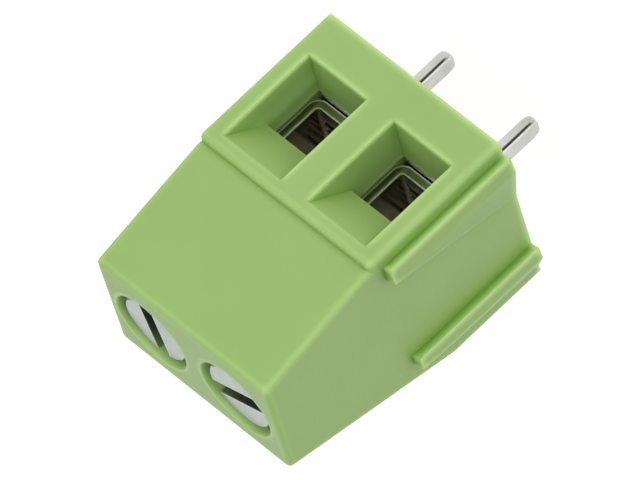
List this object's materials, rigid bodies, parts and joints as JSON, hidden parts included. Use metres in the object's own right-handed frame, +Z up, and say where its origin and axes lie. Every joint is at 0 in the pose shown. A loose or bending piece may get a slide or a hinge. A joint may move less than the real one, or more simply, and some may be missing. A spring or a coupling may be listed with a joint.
{
  "type": "pcb screw terminal",
  "caption": "Board-mounted rising-cage screw terminal block with angled wire entries, slotted screws and solder pins.",
  "frame": {"origin": "middle of the row of solder pins, in the plane of the board that the housing's underside rests on", "axes": "+X along the row of poles from the second pole towards the first, -Y out of the wire entries, +Z up from the board to the screws"},
  "size_m": [0.0106, 0.0101, 0.0173],
  "materials": {
    "housing_plastic": "satin moulded polyamide, light green",
    "screw_steel": "pale zinc plated",
    "cage_steel": "bright nickel plated",
    "contact_tin": "tin plated"
  },
  "bodies": {
    "housing": {"housing": "housing_plastic", "contact_pin_1": "contact_tin", "contact_pin_2": "contact_tin"},
    "terminal_screw_1": {"terminal_screw_1": "screw_steel"},
    "terminal_screw_2": {"terminal_screw_2": "screw_steel"},
    "clamp_cage_1": {"clamp_cage_1": "cage_steel"},
    "clamp_cage_2": {"clamp_cage_2": "cage_steel"}
  },
  "joints": [
    {"name": "screw_1_turn", "type": "hinge", "parent": "housing", "child": "terminal_screw_1", "pos_m": [0.0025, -0.00028, 0.0125], "axis": [0, 0, -1], "range_deg": [0, 1600]},
    {"name": "screw_2_turn", "type": "hinge", "parent": "housing", "child": "terminal_screw_2", "pos_m": [-0.0025, -0.00028, 0.0125], "axis": [0, 0, -1], "range_deg": [0, 1600]},
    {"name": "cage_1_lift", "type": "slide", "parent": "housing", "child": "clamp_cage_1", "axis": [0, 0, 1], "range_m": [0, 0.002]},
    {"name": "cage_2_lift", "type": "slide", "parent": "housing", "child": "clamp_cage_2", "axis": [0, 0, 1], "range_m": [0, 0.002]}
  ],
  "couplings": [
    {"joint": "screw_1_turn", "follows": "cage_1_lift", "rad_per_m": 13963},
    {"joint": "screw_2_turn", "follows": "cage_2_lift", "rad_per_m": 13963}
  ]
}
